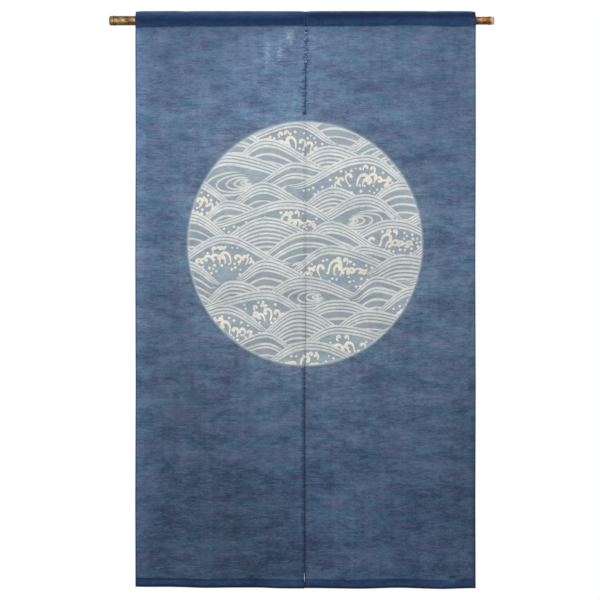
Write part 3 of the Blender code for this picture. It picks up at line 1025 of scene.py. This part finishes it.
# Wide lighter and darker places, partly uneven dye and partly painted light and shade of the broad folds:
# x, z, half width, half height, change of tone
DYE_AND_SHADE_PATCHES = (
    (-0.080, -0.165, 0.110, 0.200, 0.28),
    (-0.441, -1.250, 0.026, 0.350, 0.30),
    (-0.441, -0.450, 0.022, 0.550, 0.26),
    (0.443, -1.320, 0.008, 0.220, -0.45),
    (0.370, -0.120, 0.180, 0.270, -0.17),
    (-0.330, -0.950, 0.100, 0.160, -0.15),
    (-0.170, -1.380, 0.200, 0.220, -0.17),
    (0.080, -1.050, 0.140, 0.200, 0.12),
    (0.060, -1.330, 0.120, 0.160, 0.12),
    (0.430, -1.120, 0.060, 0.260, -0.11),
    (-0.070, -0.950, 0.080, 0.070, 0.09),
    (0.280, -0.950, 0.140, 0.080, 0.08),
    (0.430, -0.560, 0.080, 0.200, 0.06),
    (-0.300, -0.070, 0.180, 0.090, -0.14),
    (0.050, -0.025, 0.400, 0.014, -0.20),
    (0.100, -1.380, 0.400, 0.080, 0.07),
)
# Pale places near the seam: x, z, half width, half height
PALE_PLACES = ((-0.099, -0.088, 0.006, 0.030), (-0.040, -0.043, 0.010, 0.017), (-0.066, -0.084, 0.007, 0.020))
# One reddish warp yarn near the left edge, low down
STRAY_WARP_X = -0.4215
STRAY_WARP_TOP_Z = -1.370
# A darn on the hem's edge, near the right side
DARN_X = 0.383
DARN_Z = -1.445
# Where the pocket's ridge lies on the flat cloth, and how far from it its painted shade and highlight reach
RIDGE_FLAT = 0.034
POCKET_REACH = 0.054
YARN_PITCH = 0.0011
NO_CHANGE = (0.50, 1.0, 1.0, 1.0)


def soft_patch(place, x, z, half_width, half_height):
    """1 at a point of the flat cloth, fading to 0 around it."""
    across = (place["X"] - x) / half_width
    along = (place["Y"] - z) / half_height
    return math_node("EXPONENT", (across * across + along * along) * -1.0)


def resist_dyed_hemp():
    """Indigo hemp: lighter towards the top, darker towards the foot, pale inside the wave disc."""
    material, tree, shader = new_material("Indigo hemp", 0.95, 0.12)
    flat = add_node(tree, "ShaderNodeUVMap", uv_map="flat")
    place = parts_of(flat)
    edge = parts_of(add_node(tree, "ShaderNodeUVMap", uv_map="edges"))
    fold = parts_of(add_node(tree, "ShaderNodeUVMap", uv_map="folds"))
    dye = add_node(tree, "ShaderNodeAttribute", attribute_name="dye")
    paint = add_node(tree, "ShaderNodeSeparateColor", {"Color": dye})
    weave = {"Place": flat, "Yarn pitch": YARN_PITCH}
    yarns = add_node(tree, "ShaderNodeGroup", weave, node_tree=plain_weave())

    # The field, from the pocket's stitch line (0) to the foot (1)
    down = map_range(place["Y"], -0.015, -1.475)
    field = color_ramp(
        down,
        (0.00, 97, 120, 152),
        (0.16, 97, 119, 150),
        (0.38, 93, 115, 144),
        (0.62, 83, 103, 130),
        (0.76, 74, 94, 121),
        (0.88, 65, 85, 112),
        (1.00, 63, 82, 109),
    )
    off_x = (place["X"] - DISC_CENTRE_X) / DISC_HALF_WIDTH
    off_z = (place["Y"] - DISC_CENTRE_Z) / DISC_HALF_HEIGHT
    from_disc = joined("ShaderNodeVectorMath", {0: vector_of(off_x, off_z)}, operation="LENGTH")["Value"]
    halo = ramp_between(from_disc, 1.35, 0.99)
    field = blend_color(halo * halo * 0.35, field, srgb(122, 142, 162))

    # Uneven dye and painted light: wide lighter and darker places, partly painted light and shade of the
    # broad folds, then dye clouds and upright streaks from creases in the vat
    field = toned(field, 1.0 + sum(soft_patch(place, *patch) * change for *patch, change in DYE_AND_SHADE_PATCHES))
    clouds = noise(flat, (4.5, 10.5, 1.0), 3.0, 0.6) - 0.5
    mottle = noise(flat, (13.0, 27.0, 1.0), 5.0, 1.0) - 0.5
    streaks = noise(flat, (70.0, 3.0, 1.0)) - 0.5
    weft_streaks = noise(flat, (18.0, 330.0, 1.0), 3.0, 0.6) - 0.5
    uneven = clouds + mottle * 2.5 + streaks * 0.25 + weft_streaks * 0.35
    rougher_below = down * 0.55 + 1.0
    uneven_tone = tone_ramp(
        uneven * rougher_below + 0.5, (0.00, 0.50, 0.54, 0.62), NO_CHANGE, (1.00, 1.54, 1.48, 1.36)
    )
    tint_noise = noise(flat, (11.0, 26.0, 7.0), 3.0, 0.80) - 0.5
    tint = tone_ramp(
        tint_noise * rougher_below + 0.5, (0.34, 1.12, 0.97, 0.99), NO_CHANGE, (0.66, 0.86, 1.04, 0.99)
    )
    field = toned(toned(field, uneven_tone), tint)

    # Slubs: thick weft yarns that took more dye, and a few that took less
    slub_noise = noise(flat, (22.0, 250.0, 1.0), 1.5)
    slubs = ramp_between(slub_noise, 0.60, 0.70)
    field = blend_color(slubs * 0.45, field, srgb(50, 70, 106))
    pale_slubs = ramp_between(noise(flat, (30.0, 260.0, 4.0), 1.0), 0.62, 0.76)
    field = blend_color(pale_slubs * 0.28, field, srgb(128, 146, 170))

    # Pale places near the seam, and the stray yarn
    pale_place_noise = ramp_between(noise(flat, (150.0, 260.0, 1.0)), 0.42, 0.62)
    pale_place_mask = sum(soft_patch(place, *pale_place) for pale_place in PALE_PLACES) * (pale_place_noise * 0.70 + 0.10)
    field = blend_color(pale_place_mask, field, srgb(174, 190, 210))
    stray_warp = ramp_between(abs(place["X"] - STRAY_WARP_X), 0.0016, 0.0006)
    low_down = ramp_between(place["Y"], STRAY_WARP_TOP_Z, STRAY_WARP_TOP_Z - 0.02)
    field = blend_color(stray_warp * low_down * 0.5, field, srgb(112, 76, 104))

    # The disc: pale ground, bluer ground in the foam, lines that the resist kept almost white, and
    # cream foam where the paste lay thickest
    disc_down = ramp_between(off_z, 1.0, -1.0)
    ground = blend_color(disc_down, srgb(167, 178, 186), srgb(154, 163, 171))
    ground = blend_color(paint["Blue"], ground, srgb(157, 171, 182))
    ground = blend_color(slubs * 0.25, ground, srgb(120, 142, 162))
    ground = toned(ground, tint, 0.55)
    white = blend_color(disc_down, srgb(223, 227, 226), srgb(212, 216, 213))
    white = blend_color(paint["Blue"], white, srgb(236, 231, 216))
    pale = toned(blend_color(paint["Red"], ground, white), uneven_tone, 0.4)
    color = blend_color(paint["Green"], field, pale)
    rim = ramp_between(abs(from_disc - 0.998), 0.022, 0.002)
    color = blend_color(rim * 0.42, color, srgb(196, 206, 212))

    # Painted shade where the cloth lies doubled and lets less light through from behind: the pocket, darkest
    # over the rod inside it and with a painted highlight on its ridge, and the hem
    to_ridge = map_range(abs(place["Y"] - RIDGE_FLAT), POCKET_REACH, 0.0)
    left_pocket_shade = color_ramp(
        to_ridge,
        (0.00, 44, 77, 124),
        (0.25, 40, 72, 116),
        (0.45, 20, 46, 80),
        (0.58, 22, 48, 84),
        (0.66, 26, 54, 90),
        (0.76, 33, 62, 102),
        (0.84, 43, 74, 116),
        (0.90, 58, 79, 107),
        (1.00, 78, 94, 112),
    )
    right_pocket_shade = color_ramp(
        to_ridge,
        (0.00, 44, 77, 124),
        (0.25, 40, 72, 116),
        (0.44, 38, 65, 102),
        (0.50, 30, 56, 94),
        (0.58, 22, 47, 82),
        (0.66, 13, 37, 68),
        (0.76, 13, 38, 72),
        (0.84, 23, 50, 88),
        (0.90, 48, 72, 104),
        (1.00, 78, 94, 112),
    )
    on_right = ramp_between(place["X"], -0.004, 0.004)
    pocket_shade_color = toned(blend_color(on_right, left_pocket_shade, right_pocket_shade), uneven_tone)
    ragged = noise(flat, (90.0, 90.0, 3.0)) * 0.0044 - 0.0022
    color = blend_color(ramp_between(fold["X"] + ragged, -0.0007, 0.0007), color, pocket_shade_color)
    darn = ramp_between(soft_patch(place, DARN_X, DARN_Z, 0.0105, 0.0035), 0.25, 0.60)
    color = blend_color(darn * 0.80, color, srgb(30, 48, 80))
    below_darn = soft_patch(place, DARN_X, DARN_Z - 0.010, 0.012, 0.004)
    # Painted shade of the doubled hem, with a paler spot below the darn
    hem_shade_color = toned(srgb(39, 64, 100), uneven_tone)
    hem_shade_color = blend_color(below_darn * 0.8, hem_shade_color, srgb(78, 106, 138))
    above_hem = fold["Y"] + ragged
    color = blend_color(ramp_between(above_hem, 0.0007, -0.0007), color, hem_shade_color)
    # Painted shade along the hem's folded foot
    hem_fold = ramp_between(above_hem, 0.0080 - HEM_HEIGHT, 0.0035 - HEM_HEIGHT)
    color = blend_color(hem_fold * 0.90, color, srgb(19, 33, 55))
    # Painted shade along the hem's stitch line, stronger towards the left
    hem_stitch_shade = ramp_between(abs(above_hem + 0.0030), 0.0042, 0.0010)
    hem_stitch_shade = hem_stitch_shade * (ramp_between(place["X"], 0.10, -0.28) * 0.45 + 0.12)
    color = blend_color(hem_stitch_shade, color, srgb(20, 38, 60))

    # Selvedges: a dark cord of packed warps at the free edge and beside the slit, where a painted shadow
    # of the panels' edges widens it, most below the disc; beside the sewn stretch the two edges are rolled
    # into a dark uneven ridge
    beside_seam = edge["Y"] + (noise(flat, (60.0, 150.0, 1.0), 3.0) * 0.0240 - 0.0120)
    in_seam = ramp_between(place["Y"], SEAM_END_Z - 0.002, SEAM_END_Z)
    below_disc = ramp_between(off_z, -0.96, -1.06)
    inner_start = on_right * -0.0016 + 0.0016
    inner_width = on_right * -0.0030 + 0.0105
    # Dark selvedge beside the slit, widened by a painted shadow of the panels' edges
    slit_edge_and_shadow = ramp_between((beside_seam - inner_start) / (inner_width - inner_start), 1.0, 0.0)
    slit_edge_and_shadow = slit_edge_and_shadow * (1.0 - in_seam) * (below_disc * 0.48 + 0.14)
    outer = ramp_between(edge["X"], 0.0050, 0.0026) * (down * 0.18 + 0.34)
    rolled = ramp_between(beside_seam, 0.0080, 0.0010) * in_seam
    color = blend_color(outer, color, srgb(26, 38, 70))
    color = blend_color(slit_edge_and_shadow, color, srgb(34, 46, 78))
    color = blend_color(rolled * 0.50, color, srgb(44, 72, 116))
    # Painted light and shade of the small gathers beside the sewn seam
    gathers = noise(flat, (45.0, 480.0, 1.0))
    gather_light_and_shade = tone_ramp(gathers, (0.38, 0.62, 0.66, 0.74), NO_CHANGE, (0.64, 1.40, 1.36, 1.30))
    color = toned(color, gather_light_and_shade, ramp_between(edge["Y"], 0.020, 0.004) * in_seam * 0.75)
    # Painted shade in the join where the two panels butt inside the pocket
    butted_seam_shade = ramp_between(edge["Y"], 0.0024, 0.0004) * ramp_between(place["Y"], -0.018, -0.012)
    color = blend_color(butted_seam_shade * 0.85, color, srgb(12, 24, 52))

    # Yarn by yarn: each yarn's own tone, then painted shade in the hollows of the weave and a slight painted
    # highlight on the raised yarns
    yarn_tone = (yarns["Warp tone"] + yarns["Weft tone"]) * 0.5
    color = toned(color, tone_ramp(yarn_tone, (0.34, 0.88, 0.89, 0.91), NO_CHANGE, (0.66, 1.11, 1.10, 1.08)))
    raised = ramp_between(yarns["Height"], 0.15, 0.75)
    color = toned(color, blend_color(raised, (0.86, 0.87, 0.89, 1.0), (1.03, 1.03, 1.02, 1.0)))
    rough = map_range(yarns["Height"], 0.0, 1.0, 0.98, 0.86)
    bump = bump_of(yarns["Height"] + slub_noise * 1.2, 0.6, 0.00025)
    fill(shader, {"Base Color": color, "Roughness": rough, "Normal": bump})
    fill(shader, {"Sheen Weight": 0.08, "Sheen Roughness": 0.6})
    return material


hemp = resist_dyed_hemp()
waves = wave_design()
panels = {}
for side in ("left", "right"):
    panels[side] = make_panel(side, waves, hemp)
    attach(panels[side], "root")
    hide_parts("panel_" + side)

# The sewing, in indigo thread: running stitches hold the pocket and the hem and show on both faces of the
# cloth. Slanting whip stitches join the two panels from the pocket to the seam's end, wide and slack at
# the top and close further down, and a few turns of thread over each other tack the seam's end.
THREAD_RADIUS = 0.00035
ROW_INSET = 0.003 / abs(CLOTH_LEFT)
ROW_POINTS = 160
ROW_LIFT = 0.00005
ROW_UNEVENNESS = 0.12
SEAM_POINTS = 90
SEAM_LIFT = 0.00015
FIRST_SEAM_SEED = 20


def sewing_tree():
    """Lays one short stitch after another along a path, each turned by the slant in the cloth's plane."""
    inputs = {"Path": "Geometry"}
    inputs.update(dict.fromkeys(("Pitch", "Stitch length", "Thread radius", "Slant", "Unevenness"), "Float"))
    inputs.update({"Seed": "Int", "Thread": "Material"})
    tree, given = new_tree("Hand sewing", "GeometryNodeTree", inputs, {"Stitches": "Geometry"})
    curve = add_node(tree, "GeometryNodeMeshToCurve", {"Mesh": given["Path"]})
    spacing = {"Curve": curve, "Length": given["Pitch"]}
    spots = add_node(tree, "GeometryNodeCurveToPoints", spacing, mode="LENGTH")
    chances = []
    for step in range(3):
        draw = {2: -1.0, 3: 1.0, "Seed": given["Seed"] + step * 7.0}
        chance = add_node(tree, "FunctionNodeRandomValue", draw, data_type="FLOAT")
        chances.append(chance[1] * given["Unevenness"])
    tangent = {"Vector": spots["Tangent"]}
    along = add_node(tree, "FunctionNodeAlignRotationToVector", tangent, axis="X", pivot_axis="AUTO")
    slant = vector_of(0.0, given["Slant"] + chances[0])
    turn = {"Rotation": along, "Rotate By": add_node(tree, "FunctionNodeEulerToRotation", {"Euler": slant})}
    turned = add_node(tree, "FunctionNodeRotateRotation", turn, rotation_space="GLOBAL")
    half_length = given["Stitch length"] * (chances[1] * 0.4 + 0.5)
    thickness = given["Thread radius"] * (chances[2] + 1.0)
    bead = add_node(tree, "GeometryNodeMeshUVSphere", {"Segments": 6, "Rings": 6, "Radius": 1.0})
    size = vector_of(half_length, thickness, thickness)
    beads = {"Points": spots, "Instance": bead, "Rotation": turned, "Scale": size}
    return end_tree(tree, add_node(tree, "GeometryNodeInstanceOnPoints", beads), given["Thread"], "Stitches")


def thread_material(name, dark, light):
    """Twisted hemp thread."""
    material, tree, shader = new_material(name, 0.85, 0.2)
    fibres = noise(add_node(tree, "ShaderNodeTexCoord")["Object"], (900.0, 900.0, 900.0))
    color = color_ramp(fibres, (0.35, *dark), (0.65, *light))
    fill(shader, {"Base Color": color, "Normal": bump_of(fibres, 0.5, 0.0001)})
    return material


def row_of_stitches(name, side, x, flat, lift, values):
    """Stitches along a line of points on a panel's outer face, lifted by a little."""
    middle, normals = cloth_face(side, x, flat)
    points = middle + normals * (CLOTH_THICKNESS / 2 + lift)
    path = bpy.data.meshes.new("path")
    path.from_pydata(points, [(i, i + 1) for i in range(len(points) - 1)], [])
    names = ("Pitch", "Stitch length", "Thread radius", "Slant", "Unevenness", "Seed", "Thread")
    return grown(name, path, sewing, dict(zip(names, values)))


def sewn(name, rows):
    """One piece from several rows of stitches."""
    with bpy.context.temp_override(active_object=rows[0], selected_editable_objects=rows):
        bpy.ops.object.join()
    piece = rows[0]
    piece.name = name
    piece.data.name = name
    closed_outwards(piece.data, 80.0)
    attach(piece, "root")
    return piece


sewing = sewing_tree()
indigo_thread = thread_material("Indigo thread", (32, 58, 102), (60, 90, 138))
faded_and_highlight_thread = thread_material("Faded thread", (108, 138, 172), (152, 178, 202))
for side in ("left", "right"):
    xs = across_panel(side, 0.0, ROW_INSET + np.linspace(0.0, 1.0, ROW_POINTS) * (1.0 - 2 * ROW_INSET))
    flats = cloth_section(xs)[0]
    lines = (
        ("pocket_front", line_at(STITCH_LINE, xs) - FLAP_TAIL * 0.4, 0.0046, 0.0032),
        ("pocket_back", flats[0] - (flats[0] - flats[1]) * 0.6, 0.0046, 0.0014),
        ("hem_front", hem_top_z(xs) - 0.002, 0.0052, 0.0014),
        ("hem_back", flats[-1] + 0.002, 0.0052, 0.0038),
    )
    rows = []
    for seed, (name, flat, pitch, length) in enumerate(lines):
        values = (pitch, length, THREAD_RADIUS, 0.0, ROW_UNEVENNESS, seed, indigo_thread)
        rows.append(row_of_stitches(name, side, xs, flat, ROW_LIFT, values))
    stitches = sewn("stitches_" + side, rows)

# Seam stitches: name, top and foot of the run, how far right of the seam, pitch, length, radius,
# slant in degrees, unevenness, thread
SEAM_RUNS = (
    ("cord", -0.018, -0.238, 0.0004, 0.0046, 0.0058, 0.00075, 12.0, 0.60, indigo_thread),
    ("slack", -0.014, -0.104, 0.0034, 0.0130, 0.0105, 0.00100, 62.0, 0.70, indigo_thread),
    # Pale stitches between the slack ones: faded thread, and painted highlights between the dark stitches
    ("slack_light", -0.019, -0.107, 0.0014, 0.0120, 0.0100, 0.00130, 48.0, 0.70, faded_and_highlight_thread),
    ("slack_crossed", -0.017, -0.100, -0.0014, 0.0150, 0.0085, 0.00120, 125.0, 0.60, faded_and_highlight_thread),
    ("trailing", -0.016, -0.120, 0.0088, 0.0110, 0.0090, 0.00045, 8.0, 0.50, faded_and_highlight_thread),
    ("close", -0.108, -0.236, 0.0006, 0.0070, 0.0075, 0.00055, 60.0, 0.35, indigo_thread),
    ("pulled", -0.160, -0.232, -0.0070, 0.0090, 0.0150, 0.00050, 84.0, 0.35, indigo_thread),
    ("tack", -0.234, -0.244, -0.0010, 0.0014, 0.0110, 0.00085, 88.0, 0.15, indigo_thread),
)
seam_rows = []
for seed, (name, top, foot, aside, *measures, slant, uneven, thread) in enumerate(SEAM_RUNS, FIRST_SEAM_SEED):
    zs = np.linspace(top, foot, SEAM_POINTS)
    xs = inner_edge_x("right", zs) - SEAM_GAP / 2 + aside
    values = (*measures, math.radians(slant), uneven, seed, thread)
    seam_rows.append(row_of_stitches(name, "left" if aside < 0.0 else "right", xs, zs, SEAM_LIFT, values))
sewn("seam_stitches", seam_rows)

# The stage: a pale floor well below the hem, soft light from the front and above, and the camera
# straight in front of the cloth.
PHOTO_PIXELS = 600
METRES_PER_PIXEL = 0.0026
SEAM_PIXEL_X = 305.2
ROD_PIXEL_Y = 20.7
LENS_MM = 100.0
SENSOR_MM = 36.0
FLOOR_Z = -1.98
FLOOR_SIZE = 5.2
WORLD_LIGHT = 0.62
KEY_POWER = 62.0
KEY_SIZE = 2.4
KEY_PLACE = Vector((-1.1, -2.6, 1.7))
KEY_AIM = Vector((0.0, 0.0, -0.6))
WHITE = (1.0, 1.0, 1.0, 1.0)


def make_floor():
    """A matt off-white floor."""
    mesh = bpy.data.meshes.new("floor")
    half = FLOOR_SIZE / 2
    corners = ((-half, -half), (half, -half), (half, half), (-half, half))
    mesh.from_pydata([(x, y, FLOOR_Z) for x, y in corners], [], [(0, 1, 2, 3)])
    material, _, shader = new_material("Studio floor", 0.9, 0.1)
    fill(shader, {"Base Color": (0.86, 0.86, 0.85, 1.0)})
    mesh.materials.append(material)
    return placed_object("floor", mesh)


def make_light():
    """A soft square lamp, high up in front on the left."""
    lamp = bpy.data.lights.new("key", "AREA")
    lamp.size = KEY_SIZE
    lamp.energy = KEY_POWER
    light = placed_object("key", lamp)
    light.location = KEY_PLACE
    light.rotation_euler = (KEY_AIM - KEY_PLACE).to_track_quat("-Z", "Y").to_euler()


def make_world():
    """White to the camera, and a softer even light on the object."""
    world = bpy.data.worlds.new("Studio")
    world.use_nodes = True
    tree = world.node_tree
    tree.nodes.clear()
    ray = add_node(tree, "ShaderNodeLightPath")["Is Camera Ray"]
    lighting = add_node(tree, "ShaderNodeBackground", {"Color": WHITE, "Strength": WORLD_LIGHT})
    shown = add_node(tree, "ShaderNodeBackground", {"Color": WHITE, "Strength": 1.0})
    mixed = add_node(tree, "ShaderNodeMixShader", {0: ray, 1: lighting, 2: shown})
    add_node(tree, "ShaderNodeOutputWorld", {"Surface": mixed})
    bpy.context.scene.world = world


def make_camera():
    """The photo's view: straight on, from a few metres away."""
    lens = bpy.data.cameras.new("camera")
    lens.lens = LENS_MM
    lens.sensor_width = SENSOR_MM
    x = (PHOTO_PIXELS / 2 - SEAM_PIXEL_X) * METRES_PER_PIXEL
    y = -PHOTO_PIXELS * METRES_PER_PIXEL * LENS_MM / SENSOR_MM
    z = (ROD_PIXEL_Y - PHOTO_PIXELS / 2) * METRES_PER_PIXEL
    camera = placed_object("camera", lens)
    camera.location = (x, y, z)
    camera.rotation_euler = (math.radians(90.0), 0.0, 0.0)
    bpy.context.scene.camera = camera


make_floor()
make_light()
make_world()
make_camera()
bpy.context.scene.view_settings.view_transform = "Standard"
